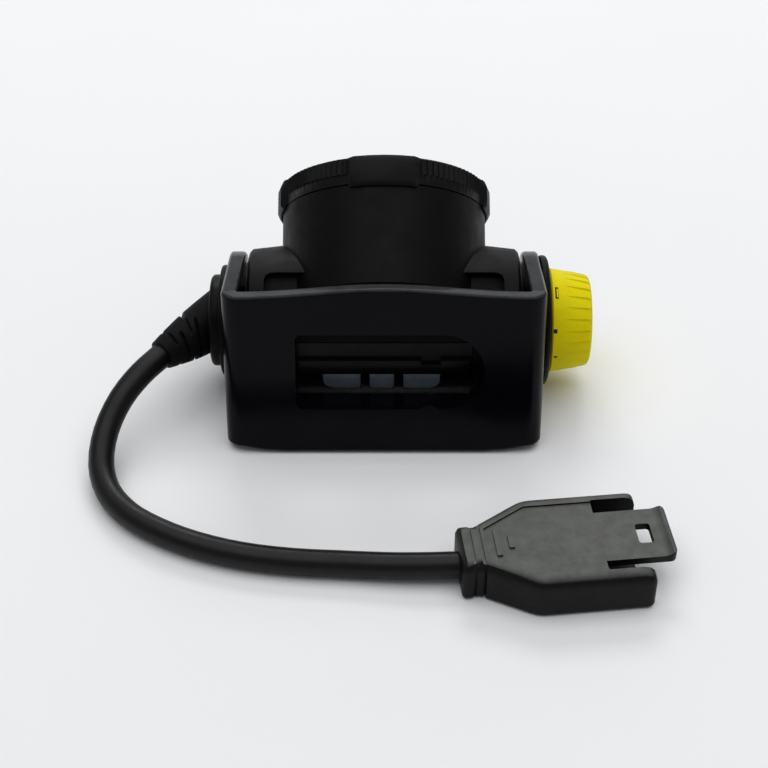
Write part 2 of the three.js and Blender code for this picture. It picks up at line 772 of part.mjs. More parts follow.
function buildHousing() {
  const lightWell = revolve([
    [0, SINK_BACK],
    [SINK_R + FIT, SINK_BACK],
    [SINK_R + FIT, LED_FLOOR],
    [BARREL_BORE_R, LED_FLOOR],
    [BARREL_BORE_R, SHOULDER_R + PAST],
    [0, SHOULDER_R + PAST],
  ]);
  const chamber = box(
    -SINK_HALF_X - RUN, SINK_HALF_X + RUN,
    -SINK_HALF_Q - RUN, SINK_HALF_Q + RUN,
    -TAIL_R - PAST, -CHAMBER_DEPTH,
  );
  const stemHole = ringZ(0, SINK_STEM_R + FIT, -CHAMBER_DEPTH - PAST, SINK_BACK + PAST);
  const coverSeat = hingeSector(
    TAIL_R - COVER_WALL - FIT, BARREL_R,
    COVER_START - SEAT_ANGLE_GAP, COVER_END + SEAT_ANGLE_GAP, COVER_HALF_X + FIT,
  );
  const trunnionBores = rodX(TRUNNION_R + FIT, -SHOULDER_X - PAST, SHOULDER_X + PAST, ROUND);
  const driverSpace = box(
    -DRIVER_X - BOARD_THICKNESS / 2 - RUN, -SINK_HALF_X,
    -DRIVER_HALF_Q - RUN, DRIVER_HALF_Q + RUN,
    DRIVER_BACK - RUN, DRIVER_BACK + DRIVER_LENGTH + RUN,
  );
  const shell = cut(
    union(revolve(barrelOutline(), FINE_ROUND), buildCrest(), buildShoulders()),
    lightWell,
    chamber,
    stemHole,
    coverSeat,
    trunnionBores,
    driverSpace,
    ...screwHoles(),
  );
  addPiece(head, 'head_housing', shell, FINISH.mattBlack());
}

// ---------------------------------------------------------------- rear cover
// Straight at the top, with its lower corners rounded.
function ventSolid({ x, width, leftR, rightR }, from, to, gap = 0) {
  const u = width / 2 - gap;
  const v = VENT_HEIGHT / 2 - gap;
  const shape = new THREE.Shape();
  shape.moveTo(-u, v);
  shape.lineTo(-u, leftR - v);
  shape.absarc(leftR - u, leftR - v, leftR, 180 * DEG, 270 * DEG);
  shape.lineTo(u - rightR, -v);
  shape.absarc(u - rightR, rightR - v, rightR, -90 * DEG, 0);
  shape.lineTo(u, v);
  const geometry = prism(shape, from, to, 4);
  geometry.rotateX(VENT_ANGLE * DEG);
  geometry.translate(x, 0, 0);
  return toSolid(geometry);
}

// Places a piece drawn along z at both cover screws.
function atScrews(solid) {
  return [-1, 1].map((side) => {
    const geometry = toGeometry(solid).rotateX(SCREW_ANGLE * DEG);
    return toSolid(geometry.translate(side * SCREW_X, 0, 0));
  });
}

function screwHoles() {
  const seat = ringZ(0, SCREW_HEAD_R + FIT, TAIL_R - SCREW_HEAD_DEPTH, TAIL_R + PAST, 24);
  const hole = ringZ(0, SCREW_SHANK_R + FIT, TAIL_R - SCREW_LENGTH - FIT, TAIL_R, 16);
  return atScrews(union(seat, hole));
}

function buildRearCover() {
  // Flush with the drum at the back and with its cut-back part underneath.
  const shell = hingeSector(TAIL_R - COVER_WALL, TAIL_R, COVER_START, COVER_END, COVER_HALF_X);
  const proud = hingeSector(TAIL_R - JOIN, SHOULDER_R, COVER_START, DRUM_END, COVER_HALF_X, 8);
  const bar = hingeSector(
    TAIL_R, SHOULDER_R + BAR_RISE, BAR_START, BAR_END, COVER_HALF_X - BAR_INSET, 4,
  );
  const notchHeight = 4;
  const notchFloor = SHOULDER_R + BAR_RISE / 2 - BAR_INSET;
  const notchGeometry = new THREE.BoxGeometry(BAR_NOTCH_WIDTH, BAR_NOTCH_DEPTH * 2, notchHeight);
  notchGeometry.translate(0, 0, notchFloor + notchHeight / 2);
  notchGeometry.rotateX(BAR_START * DEG);
  notchGeometry.translate(BAR_NOTCH_X, 0, 0);
  const vents = VENTS.map((vent) =>
    ventSolid(vent, TAIL_R - COVER_WALL - PAST, SHOULDER_R + BAR_RISE + PAST),
  );
  const cover = cut(
    union(shell, proud, bar), toSolid(notchGeometry), ...vents, ...screwHoles(),
  );
  addPiece(head, 'rear_cover', cover, FINISH.mattBlack());
}

// ---------------------------------------------------------------- light engine
function buildLightEngine() {
  const core = cut(
    prismX(
      shapeOf(hingeArc(TAIL_R - COVER_WALL - RUN, SINK_START, SINK_END, 16)),
      -SINK_HALF_X, SINK_HALF_X,
    ),
    box(-WIDE, WIDE, -WIDE, WIDE, -CHAMBER_DEPTH, WIDE),
    box(-WIDE, WIDE, -WIDE, -SINK_HALF_Q, -WIDE, WIDE),
    box(-WIDE, WIDE, SINK_HALF_Q, WIDE, -WIDE, WIDE),
  );
  const pitch = (2 * SINK_HALF_Q) / FIN_COUNT;
  const gaps = [];
  for (let i = 1; i < FIN_COUNT; i += 1) {
    const q = -SINK_HALF_Q + i * pitch;
    gaps.push(box(
      -WIDE, WIDE, q - FIN_GAP / 2, q + FIN_GAP / 2, -WIDE, -CHAMBER_DEPTH - SINK_BASE,
    ));
  }
  // Three pads fill the vents of the rear cover and give off the heat there.
  const padRoot = TAIL_R - COVER_WALL - RUN - SINK_BASE;
  const pads = VENTS.map((vent) => ventSolid(vent, padRoot, SHOULDER_R - SINK_PAD_RECESS, FIT));
  const stem = ringZ(0, SINK_STEM_R, -CHAMBER_DEPTH - JOIN, SINK_BACK + JOIN);
  const flange = ringZ(0, SINK_R, SINK_BACK, LED_FLOOR);
  const sink = union(cut(core, ...gaps), ...pads, stem, flange);
  addPiece(head, 'heat_sink', sink, FINISH.aluminium());

  const board = ringZ(0, SINK_R - BOARD_EDGE, LED_FLOOR, BOARD_FRONT);
  addPiece(head, 'led_board', board, FINISH.white());

  const half = LED_SIZE / 2;
  const base = box(-half, half, -half, half, BOARD_FRONT, BOARD_FRONT + LED_BASE);
  const domeStart = BOARD_FRONT + LED_BASE / 2;
  const dome = [[0, domeStart], [LED_DOME_R, domeStart]];
  const domeSteps = 6;
  for (let i = 0; i <= domeSteps; i += 1) {
    const angle = ((90 * i) / domeSteps) * DEG;
    dome.push([
      LED_DOME_R * Math.cos(angle),
      BOARD_FRONT + LED_BASE + LED_DOME_R * Math.sin(angle),
    ]);
  }
  addPiece(head, 'led_emitter', union(base, revolve(dome, SMALL_ROUND)), FINISH.clear());

  const driver = box(
    -DRIVER_X - BOARD_THICKNESS / 2, -DRIVER_X + BOARD_THICKNESS / 2,
    -DRIVER_HALF_Q, DRIVER_HALF_Q,
    DRIVER_BACK, DRIVER_BACK + DRIVER_LENGTH,
  );
  addPiece(head, 'driver_board', driver, FINISH.board());
}

// ---------------------------------------------------------------- lens group
function lensHeight(radius) {
  const base = LENS_BACK + LENS_RIM + LENS_SAG - LENS_SPHERE;
  return base + Math.sqrt(LENS_SPHERE ** 2 - radius ** 2);
}

function buildLensGroup() {
  const ledgeInner = LENS_SEAT_R - CARRIER_LEDGE_WIDTH;
  const carrier = revolve([
    [ledgeInner, CARRIER_BACK],
    [CARRIER_R, CARRIER_BACK],
    [CARRIER_R, CARRIER_FRONT],
    [LENS_SEAT_R, CARRIER_FRONT],
    [LENS_SEAT_R, LENS_BACK],
    [ledgeInner, LENS_BACK],
  ]);
  addPiece(head, 'lens_carrier', carrier, FINISH.mattBlack());

  const lens = [[0, LENS_BACK], [LENS_R, LENS_BACK]];
  const domeSteps = 5;
  for (let i = 0; i <= domeSteps; i += 1) {
    const r = LENS_R * (1 - i / domeSteps);
    lens.push([r, lensHeight(r)]);
  }
  addPiece(head, 'focus_lens', revolve(lens), FINISH.clear());

  const clipInner = LENS_SEAT_R - LENS_CLIP_WIDTH;
  const clipBack = lensHeight(clipInner) + CLOSE;
  const clip = ringZ(clipInner, LENS_SEAT_R - CLOSE, clipBack, clipBack + LENS_CLIP_WIDTH);
  addPiece(head, 'lens_clip', clip, FINISH.steel());
}

// ---------------------------------------------------------------- front window and bezel
function buildWindow() {
  const sealOuter = WINDOW_SEAT_R - FIT;
  const seal = ringZ(sealOuter - SEAL_WIDTH, sealOuter, WINDOW_SEAT, SEAL_FRONT);
  addPiece(head, 'window_seal', seal, FINISH.rubber());

  const pane = ringZ(0, WINDOW_SEAT_R - LOOSE, SEAL_FRONT, WINDOW_FRONT);
  addPiece(head, 'front_window', pane, FINISH.clear());

  const inner = WINDOW_SEAT_R - BEZEL_RIM;
  const bezel = revolve([
    [inner, WINDOW_FRONT],
    [WINDOW_SEAT_R - FIT, WINDOW_FRONT],
    [WINDOW_SEAT_R - FIT, NECK_FRONT],
    [BEZEL_R, NECK_FRONT],
    [BEZEL_R, NECK_FRONT + BEZEL_FLANGE],
    [inner + BEZEL_CONE, NECK_FRONT + BEZEL_FLANGE],
  ]);
  addPiece(head, 'front_bezel', bezel, FINISH.mattBlack());

  const oRing = [];
  const sides = 6;
  for (let i = 0; i < sides; i += 1) {
    const angle = (i / sides) * 2 * Math.PI;
    oRing.push([
      O_RING_R + O_RING_SECTION * Math.cos(angle),
      O_RING_BACK + O_RING_SECTION * (1 + Math.sin(angle)),
    ]);
  }
  addPiece(head, 'focus_seal', revolve(oRing), FINISH.rubber());
}

// ---------------------------------------------------------------- focus ring
function ringOutline(root, lobe, rib) {
  // One smooth lobe, then one knurled sector, repeated round the ring.
  const outline = [];
  const sector = 360 / LOBE_COUNT;
  const lobeEnd = LOBE_HALF_ANGLE + LOBE_RUNOUT;
  const pitch = (sector - 2 * lobeEnd) / RIBS_PER_SECTOR;
  const flatSteps = 4;
  const lobePoints = [[-lobeEnd, 0], [-lobeEnd + LOBE_RUNOUT / 2, 0.5]];
  for (let i = 0; i <= flatSteps; i += 1) {
    lobePoints.push([LOBE_HALF_ANGLE * ((2 * i) / flatSteps - 1), 1]);
  }
  lobePoints.push([lobeEnd - LOBE_RUNOUT / 2, 0.5], [lobeEnd, 0]);
  for (let i = 0; i < LOBE_COUNT; i += 1) {
    const centre = i * sector + 90;
    for (const [angle, rise] of lobePoints) {
      outline.push([root + (lobe - root) * rise, centre + angle]);
    }
    for (let j = 0; j < RIBS_PER_SECTOR; j += 1) {
      const start = centre + lobeEnd + j * pitch;
      outline.push([root, start + 0.2 * pitch], [root + rib, start + 0.6 * pitch]);
    }
  }
  return outline;
}

function buildFocusRing() {
  const crest = BARREL_R + LOBE_RISE;
  const nose = crest - LOBE_NOSE_FALL;
  const knurl = (z) => BAND_R - (RIB_TAPER * (z - KNURL_BACK)) / (RING_FRONT - KNURL_BACK);
  const level = (z, root, lobe, rib) =>
    ringOutline(root, lobe, rib).map(
      ([r, angle]) => new THREE.Vector3(r * Math.cos(angle * DEG), r * Math.sin(angle * DEG), z),
    );
  const knurlFull = KNURL_BACK + RING_CHAMFER;
  const noseStart = RING_FRONT - LOBE_NOSE_LENGTH;
  const chamferBack = RING_FRONT - RING_CHAMFER;
  const body = loft([
    level(TAB_BACK, BAND_R, crest - LOBE_BACK_FALL, 0),
    level(TAB_BACK + LOBE_BACK_LENGTH, BAND_R, crest, 0),
    level(KNURL_BACK, BAND_R, crest, 0),
    level(knurlFull, knurl(knurlFull), crest, RIB_DEPTH),
    level(noseStart, knurl(noseStart), crest, RIB_DEPTH),
    level(chamferBack, knurl(chamferBack), nose, RIB_DEPTH),
    level(RING_FRONT, knurl(RING_FRONT) - RING_CHAMFER, nose - RING_CHAMFER, 0),
  ]);
  const bore = ringZ(0, NECK_R + RUN, TAB_BACK - PAST, RING_FRONT + PAST, FINE_ROUND);
  const overBarrel = ringZ(0, BARREL_R + RUN, TAB_BACK - PAST, RING_BACK, FINE_ROUND);
  const lipSeat = ringZ(0, BEZEL_R + LOOSE, NECK_FRONT - LOOSE, RING_FRONT + PAST, FINE_ROUND);
  addPiece(head, 'focus_ring', cut(body, bore, overBarrel, lipSeat), FINISH.mattBlack());
}

// ---------------------------------------------------------------- hinge pieces
function buildTrunnions() {
  const right = union(
    ringX(SHAFT_BORE_R, TRUNNION_R, TRUNNION_INNER, COLLAR_INNER + JOIN),
    roundedRingX(SHAFT_BORE_R, COLLAR_R, COLLAR_INNER, COLLAR_OUTER, COLLAR_EDGE_R),
  );
  addPiece(head, 'right_trunnion', right, FINISH.mattBlack());

  const left = union(
    ringX(WIRE_BORE_R, TRUNNION_R, FLANGE_INNER - JOIN, -TRUNNION_INNER),
    ringX(WIRE_BORE_R, FLANGE_R, FLANGE_INNER - FLANGE_THICKNESS, FLANGE_INNER),
  );
  addPiece(head, 'left_trunnion', left, FINISH.mattBlack());

  const washerInner = TRUNNION_R + LOOSE;
  const washer = (from, to) => ringX(washerInner, WASHER_R, from, to);
  addPiece(head, 'right_washer', washer(SHOULDER_X, SHOULDER_X + WASHER_THICKNESS), FINISH.steel());
  addPiece(head, 'left_washer', washer(-SHOULDER_X - WASHER_THICKNESS, -SHOULDER_X), FINISH.steel());
}

// ---------------------------------------------------------------- switch and knob
function buildSwitch() {
  const body = ringX(SPINDLE_R + FIT, SWITCH_R, SWITCH_BACK, SWITCH_BACK + SWITCH_LENGTH);
  addPiece(head, 'rotary_switch', body, FINISH.mattBlack());
}

function buildKnob() {
  const knob = new THREE.Group();
  head.add(knob);

  // Each flute drops steeply and comes back slowly, and fades towards the smooth band.
  const flankRadius = (x) => KNOB_BASE_R - ((KNOB_BASE_R - KNOB_END_R) * x) / KNOB_LENGTH;
  const level = (x, radius, flute) => {
    const ring = [];
    for (let i = 0; i < FLUTES; i += 1) {
      for (const [share, dip] of FLUTE_PROFILE) {
        const angle = ((i + share) / FLUTES) * 2 * Math.PI;
        const r = radius - FLUTE_DEPTH * flute * dip;
        ring.push(new THREE.Vector3(KNOB_START + x, r * Math.cos(angle), r * Math.sin(angle)));
      }
    }
    return ring;
  };
  const heel = 0.25;
  const flankEnd = KNOB_LENGTH - KNOB_EDGE_R;
  const fadeEnd = (KNOB_BAND + flankEnd) / 2;
  const solid = loft([
    level(0, KNOB_BASE_R - heel, 0),
    level(heel, KNOB_BASE_R, 0),
    level(KNOB_BAND, flankRadius(KNOB_BAND), 0),
    level(fadeEnd, flankRadius(fadeEnd), 0.7),
    level(flankEnd, KNOB_END_R, 1),
    level(KNOB_LENGTH - KNOB_EDGE_R * 0.3, KNOB_END_R - KNOB_EDGE_R * 0.3, 0.9),
    level(KNOB_LENGTH, KNOB_END_R - KNOB_EDGE_R, 0.4),
  ]);
  const gripEnd = KNOB_START + SHAFT_GRIP;
  const shaftHole = rodX(SHAFT_R + CLOSE, KNOB_START - PAST, gripEnd + LOOSE);
  addPiece(knob, 'switch_knob', cut(solid, shaftHole), FINISH.yellow());

  const shaft = union(
    rodX(SHAFT_R, TRUNNION_INNER + FIT, gripEnd),
    rodX(SPINDLE_R, SWITCH_BACK + JOIN, TRUNNION_INNER + JOIN, 24),
  );
  addPiece(knob, 'knob_shaft', shaft, FINISH.brass());
}

// ---------------------------------------------------------------- cable gland
function buildGland() {
  const boss = ringX(FLANGE_R + RUN, BOSS_R, BOSS_OUTER, -HALF_WIDTH);
  addPiece(hinge, 'gland_boss', boss, FINISH.mattBlack());

  const nut = roundedRingX(WIRE_BORE_R, NUT_R, BOSS_OUTER, NUT_OUTER, NUT_EDGE_R);
  addPiece(hinge, 'gland_nut', nut, FINISH.mattBlack());
  buildBoot();
}

// Stations along the boot: share of its length and the slot row it lies in, or -1.
function bootStations() {
  const stations = [[0, -1], [BOOT_SLOT_START - BOOT_SLOT_PITCH, -1]];
  const wall = 0.012;
  for (let row = 0; row < BOOT_SLOT_ROWS; row += 1) {
    const from = BOOT_SLOT_START + row * BOOT_SLOT_PITCH;
    const to = from + BOOT_SLOT_PITCH * BOOT_SLOT_SHARE;
    stations.push([from, -1], [from + wall, row], [to - wall, row], [to, -1]);
  }
  stations.push([1, -1]);
  return stations;
}

function buildBoot() {
  // A skewed cone; the slot rows face two opposite sides and turn by 90 degrees each time.
  const reach = new THREE.Vector3(-BOOT_REACH[0], -BOOT_REACH[1], -BOOT_REACH[2]);
  const square = new THREE.Vector3(-1, 0, 0);
  const skewed = reach.clone().normalize();
  const rings = bootStations().map(([share, row]) => {
    const along = square.clone().lerp(skewed, share).normalize();
    const side = new THREE.Vector3(0, 0, 1).cross(along).normalize();
    const up = along.clone().cross(side);
    const taper = BOOT_ROOT_R + (BOOT_TIP_R - BOOT_ROOT_R) * share;
    const ring = [];
    for (let j = 0; j < BOOT_SIDES; j += 1) {
      const angle = (j / BOOT_SIDES) * 360;
      const fromSlot = Math.abs(((angle + row * 90 + 90) % 180) - 90);
      const slotted = row >= 0 && fromSlot < BOOT_SLOT_ANGLE / 2;
      const radius = taper - (slotted ? BOOT_SLOT_DEPTH * (1 - share / 2) : 0);
      const point = reach.clone().multiplyScalar(share);
      point.addScaledVector(side, radius * Math.cos(angle * DEG));
      point.addScaledVector(up, radius * Math.sin(angle * DEG));
      point.x += NUT_OUTER;
      ring.push(point);
    }
    return ring;
  });
  addPiece(hinge, 'strain_relief', loft(rings), FINISH.rubber());
}

// ---------------------------------------------------------------- cover screws
function buildScrews() {
  const top = TAIL_R - FIT;
  const headPart = ringZ(0, SCREW_HEAD_R, TAIL_R - SCREW_HEAD_DEPTH, top, 24);
  const recess = box(
    -SCREW_SLOT_WIDTH / 2, SCREW_SLOT_WIDTH / 2,
    -SCREW_HEAD_R + RUN, SCREW_HEAD_R - RUN,
    top - SCREW_SLOT_DEPTH, top + PAST,
  );
  const shank = ringZ(0, SCREW_SHANK_R, TAIL_R - SCREW_LENGTH, top - SCREW_SLOT_DEPTH - FIT, 16);
  const [left, right] = atScrews(cut(union(headPart, shank), recess));
  addPiece(head, 'left_cover_screw', left, FINISH.steel());
  addPiece(head, 'right_cover_screw', right, FINISH.steel());
}

// ---------------------------------------------------------------- plug
const plug = new THREE.Group();
plug.position.set(PLUG_PLACE[0], PLUG_PLACE[1], 0);
plug.rotation.z = PLUG_YAW * DEG;
lamp.add(plug);

const TAPER_SLOPE = (PLUG_HALF_WIDTH - PLUG_NECK_HALF) / (PLUG_TAPER_END - PLUG_TAPER_START);

// Half width of the plug at a place along its tapered neck.
function taperHalf(x) {
  return PLUG_NECK_HALF + TAPER_SLOPE * (x - PLUG_TAPER_START);
}

// One level of the plug's plan outline, moved inwards by `inset`.
function plugLevel(z, inset) {
  const flange = PLUG_FLANGE_HALF - inset;
  const neck = PLUG_NECK_HALF - inset;
  const wide = PLUG_HALF_WIDTH - inset;
  const start = Math.min(inset, PLUG_FLANGE_CORNER);
  const end = PLUG_LENGTH - inset;
  const bend = PLUG_TAPER_END - PLUG_TAPER_ROUND;
  const half = new THREE.Path();
  half.moveTo(start, flange - PLUG_FLANGE_CORNER);
  half.quadraticCurveTo(start, flange, start + PLUG_FLANGE_CORNER, flange);
  half.lineTo(PLUG_FLANGE_LENGTH, flange);
  half.lineTo(PLUG_FLANGE_LENGTH + PLUG_GROOVE_WIDTH, neck);
  half.lineTo(PLUG_TAPER_START, neck);
  half.lineTo(bend, taperHalf(bend) - inset);
  half.quadraticCurveTo(PLUG_TAPER_END, wide, PLUG_TAPER_END + PLUG_TAPER_ROUND, wide);
  half.lineTo(end - PLUG_CORNER_R, wide);
  half.quadraticCurveTo(end, wide, end, wide - PLUG_CORNER_R);
  const near = half.getPoints(4).map(({ x, y }) => new THREE.Vector3(x, -y, z));
  const far = half.getPoints(4).map(({ x, y }) => new THREE.Vector3(x, y, z));
  return [...near, ...far.reverse()];
}

// The levels of a rounded edge, from the full outline to the flat face; side is 1 at the top.
function edgeLevels(face, side, radius) {
  const levels = [];
  const steps = 3;
  for (let i = 0; i <= steps; i += 1) {
    const angle = ((90 * i) / steps) * DEG;
    const z = face - side * radius * (1 - Math.sin(angle));
    levels.push(plugLevel(z, radius * (1 - Math.cos(angle))));
  }
  return levels;
}

function buildShells() {
  const lowerBlank = loft([
    ...edgeLevels(0, -1, PLUG_FOOT_R).reverse(),
    plugLevel(PLUG_SPLIT, 0),
  ]);
  const upperBlank = loft([
    plugLevel(PLUG_SPLIT, 0),
    ...edgeLevels(PLUG_HEIGHT, 1, PLUG_TOP_R),
  ]);
  const coreHalf = PLUG_NECK_HALF - PLUG_GROOVE_DEPTH;
  const grooves = PLUG_GROOVES.map((x) =>
    cut(
      box(
        x, x + PLUG_GROOVE_WIDTH, -PLUG_HALF_WIDTH, PLUG_HALF_WIDTH, -PAST, PLUG_HEIGHT + PAST,
      ),
      box(
        0, PLUG_TAPER_END, -coreHalf, coreHalf,
        PLUG_GROOVE_DEPTH, PLUG_HEIGHT - PLUG_GROOVE_DEPTH,
      ),
    ),
  );
  const inside = box(
    SOCKET_BACK - CONTACT_BLOCK - FIT, PLUG_LENGTH + PAST,
    -SOCKET_HALF, SOCKET_HALF, PLUG_WALL, PLUG_ROOF,
  );
  const mouth = box(
    PLUG_FLOOR_END, PLUG_LENGTH + PAST, -SOCKET_HALF, SOCKET_HALF, -PAST, PLUG_WALL + PAST,
  );
  const lower = cut(lowerBlank, inside, mouth, ...grooves);
  addPiece(plug, 'plug_lower_shell', lower, FINISH.mattBlack());

  const roofGap = box(
    TONGUE_BACK, PLUG_LENGTH + PAST, -SOCKET_HALF, SOCKET_HALF, PLUG_SPLIT, PLUG_HEIGHT + PAST,
  );
  const panelStart = taperHalf(PANEL_START) - PANEL_MARGIN;
  const panelHalf = PLUG_HALF_WIDTH - PANEL_MARGIN;
  const panelEnd = TONGUE_BACK + PAST;
  const panel = prismZ(
    shapeOf([
      [PANEL_START, -panelStart], [PLUG_TAPER_END, -panelHalf], [panelEnd, -panelHalf],
      [panelEnd, panelHalf], [PLUG_TAPER_END, panelHalf], [PANEL_START, panelStart],
    ]),
    PLUG_HEIGHT - PANEL_DEPTH, PLUG_HEIGHT + PAST,
  );
  const bars = PANEL_BARS.map(({ x, half }) =>
    box(x, x + PANEL_BAR_WIDTH, -half, half, PLUG_SPLIT, PLUG_HEIGHT),
  );
  const upper = cut(upperBlank, inside, roofGap, cut(panel, ...bars), ...grooves);
  addPiece(plug, 'plug_upper_shell', upper, FINISH.mattBlack());
}

function buildTongue() {
  const lipStart = TONGUE_END - TONGUE_LIP;
  const side = new THREE.Shape();
  side.moveTo(TONGUE_BACK, TONGUE_BOTTOM);
  side.lineTo(TONGUE_END, TONGUE_BOTTOM);
  side.lineTo(TONGUE_END, TONGUE_TOP + TONGUE_LIP_RISE / 2);
  side.quadraticCurveTo(
    TONGUE_END, TONGUE_TOP + TONGUE_LIP_RISE,
    TONGUE_END - TONGUE_LIP_RISE, TONGUE_TOP + TONGUE_LIP_RISE,
  );
  side.quadraticCurveTo(lipStart + TONGUE_LIP / 3, TONGUE_TOP, lipStart, TONGUE_TOP);
  side.lineTo(TONGUE_BACK, TONGUE_TOP);
  const blank = prismY(side, -TONGUE_HALF, TONGUE_HALF, 4);

  const overlap = 2 * TONGUE_CORNER_R;
  const plan = prismZ(
    roundedRect(
      (TONGUE_END - TONGUE_BACK + overlap) / 2, TONGUE_HALF, TONGUE_CORNER_R,
      (TONGUE_END + TONGUE_BACK - overlap) / 2,
    ),
    0, PLUG_HEIGHT + PAST, 4,
  );
  const { from, to, width, corner } = TONGUE_WINDOW;
  const window = prismZ(
    roundedRect((to - from) / 2, width / 2, corner, (to + from) / 2), 0, PLUG_HEIGHT + PAST, 3,
  );
  addPiece(plug, 'latch_tongue', cut(blank.intersect(plan), window), FINISH.mattBlack());
}

function buildContacts() {
  const block = box(
    SOCKET_BACK - CONTACT_BLOCK, SOCKET_BACK, -SOCKET_HALF + FIT, SOCKET_HALF - FIT,
    PLUG_WALL + CLOSE, PLUG_ROOF - CLOSE,
  );
  const blade = (y, back, front, grow) => {
    const halfWidth = CONTACT_WIDTH / 2 + grow;
    const halfThickness = CONTACT_THICKNESS / 2 + grow;
    return box(
      back, front, y - halfWidth, y + halfWidth,
      PLUG_SPLIT - halfThickness, PLUG_SPLIT + halfThickness,
    );
  };
  const bores = [];
  for (let i = 0; i < CONTACTS; i += 1) {
    const y = (i - (CONTACTS - 1) / 2) * CONTACT_PITCH;
    const root = SOCKET_BACK - CONTACT_ROOT;
    bores.push(blade(y, root - LOOSE, SOCKET_BACK + PAST, FIT));
    addPiece(plug, `contact_${i + 1}`, blade(y, root, SOCKET_BACK + CONTACT_REACH, 0), FINISH.brass());
  }
  addPiece(plug, 'contact_carrier', cut(block, ...bores), FINISH.white());
}

// ---------------------------------------------------------------- cable
function buildCord() {
  const route = new THREE.CatmullRomCurve3(
    CORD_ROUTE.map((point) => new THREE.Vector3(...point)), false, 'centripetal',
  );
  const section = new THREE.Shape();
  for (let i = 0; i < CORD_SIDES; i += 1) {
    const angle = (i / CORD_SIDES) * 2 * Math.PI;
    const [u, v] = [CORD_R * Math.cos(angle), CORD_R * Math.sin(angle)];
    if (i === 0) section.moveTo(u, v);
    else section.lineTo(u, v);
  }
  const tube = new THREE.ExtrudeGeometry(section, { steps: CORD_STEPS, extrudePath: route });
  addPiece(lamp, 'cord', toSolid(tube), FINISH.rubber());
}

// ---------------------------------------------------------------- assembly
buildBracket();
buildHousing();
buildRearCover();
buildLightEngine();
buildLensGroup();
buildWindow();
buildFocusRing();
buildTrunnions();
buildSwitch();
buildKnob();
buildGland();
buildScrews();
buildShells();
buildTongue();
buildContacts();
buildCord();

// The lamp without its cable end stands centred over the origin, on z = 0.
lamp.updateMatrixWorld(true);
const standing = new THREE.Box3();
stand.traverse((node) => {
  if (node.isMesh && node.name !== 'strain_relief') {
    standing.union(new THREE.Box3().setFromObject(node, true));
  }
});
const centre = standing.getCenter(new THREE.Vector3());
stand.position.set(-centre.x, -centre.y, -standing.min.z);

export default lamp;
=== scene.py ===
import json
import math

import bpy
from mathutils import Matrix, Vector


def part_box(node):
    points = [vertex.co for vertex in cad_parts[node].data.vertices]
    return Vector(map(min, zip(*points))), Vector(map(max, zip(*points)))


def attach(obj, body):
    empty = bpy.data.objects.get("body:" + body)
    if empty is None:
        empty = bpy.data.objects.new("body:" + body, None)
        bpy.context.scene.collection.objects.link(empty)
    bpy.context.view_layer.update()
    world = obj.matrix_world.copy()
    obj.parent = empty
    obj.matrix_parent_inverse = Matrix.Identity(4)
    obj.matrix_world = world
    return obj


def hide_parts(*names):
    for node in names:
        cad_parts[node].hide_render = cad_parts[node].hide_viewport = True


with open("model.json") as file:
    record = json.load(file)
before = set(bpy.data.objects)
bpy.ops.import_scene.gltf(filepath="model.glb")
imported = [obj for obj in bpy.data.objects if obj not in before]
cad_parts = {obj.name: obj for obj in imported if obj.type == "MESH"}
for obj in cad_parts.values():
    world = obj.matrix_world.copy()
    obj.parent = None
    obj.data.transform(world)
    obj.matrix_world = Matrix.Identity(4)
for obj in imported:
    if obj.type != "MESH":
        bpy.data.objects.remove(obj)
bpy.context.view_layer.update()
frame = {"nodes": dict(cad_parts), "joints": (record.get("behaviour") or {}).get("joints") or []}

MM = 0.001
DEG = math.pi / 180

# The photograph's view
CAMERA_PLACE = Vector((-3.075, -260.995, 212.28)) * MM
CAMERA_PITCH = 50 * DEG
SENSOR_MM = 36
LENS_MM = 79.69

# The cable: its route starts at the strain relief and ends at the plug, in mm
CORD_DIAMETER = 4.7 * MM
CORD_ENTRY = 0.8 * MM
CORD_STEPS = 3
CORD_ROUNDNESS = 6
CORD_ROUTE = [
    (-44.83, -14.27, 12.0),
    (-48.1, -18.41, 11.2),
    (-51.4, -23.11, 9.2),
    (-53.8, -28.71, 6.2),
    (-54.2, -34.91, 3.6),
    (-52.2, -41.01, 2.5),
    (-48.2, -46.32, 2.4),
    (-42.6, -50.51, 2.4),
    (-35.6, -54.01, 2.4),
    (-27.8, -56.51, 2.4),
    (-19.0, -58.01, 2.4),
    (-9.6, -58.76, 2.5),
    (-3.0, -59.36, 2.75),
    (3.0, -59.71, 3.05),
    (9.2, -59.64, 3.2),
]

# The switch knob's marks, in its smooth band, turn about the hinge axis
HINGE = next(Vector(j["pos_m"]) for j in frame["joints"] if j["name"] == "head_tilt")
KNOB_YELLOW = (0.82, 0.71, 0.004)
KNOB_YELLOW_WORN = (0.76, 0.65, 0.003)
MARK_INK = (0.02, 0.018, 0.006)
# Each mark: x from the knob's inner end, angle, half its length, half its turn, inked or cut out
KNOB_MARKS = (
    (0.93, 111.1, 0.30, 7.4, True),
    (1.03, 111.1, 0.13, 5.4, False),
    (0.60, 154.6, 0.36, 2.3, True),
    (0.85, -173.0, 0.34, 1.3, True),
)

# The bracket's up-facing upper edges carry a painted highlight, a mottled grey mixed in from the
# first height to the second, in mm
PAINTED_EDGE_SHEEN = (0.04, 0.042, 0.043)
SHEEN_START_MM = 13
SHEEN_FULL_MM = 22
# The plug's up-facing top carries a painted sheen: this grey is mixed in
PAINTED_TOP_SHEEN = (0.115, 0.12, 0.11)

# How the CAD nodes' faces are joined, flattened and bevelled
WELD_DISTANCE = 0.002 * MM
FLAT_ANGLE = 0.6 * DEG
EDGE_ANGLE = 35 * DEG
BEVEL_SEGMENTS = 2

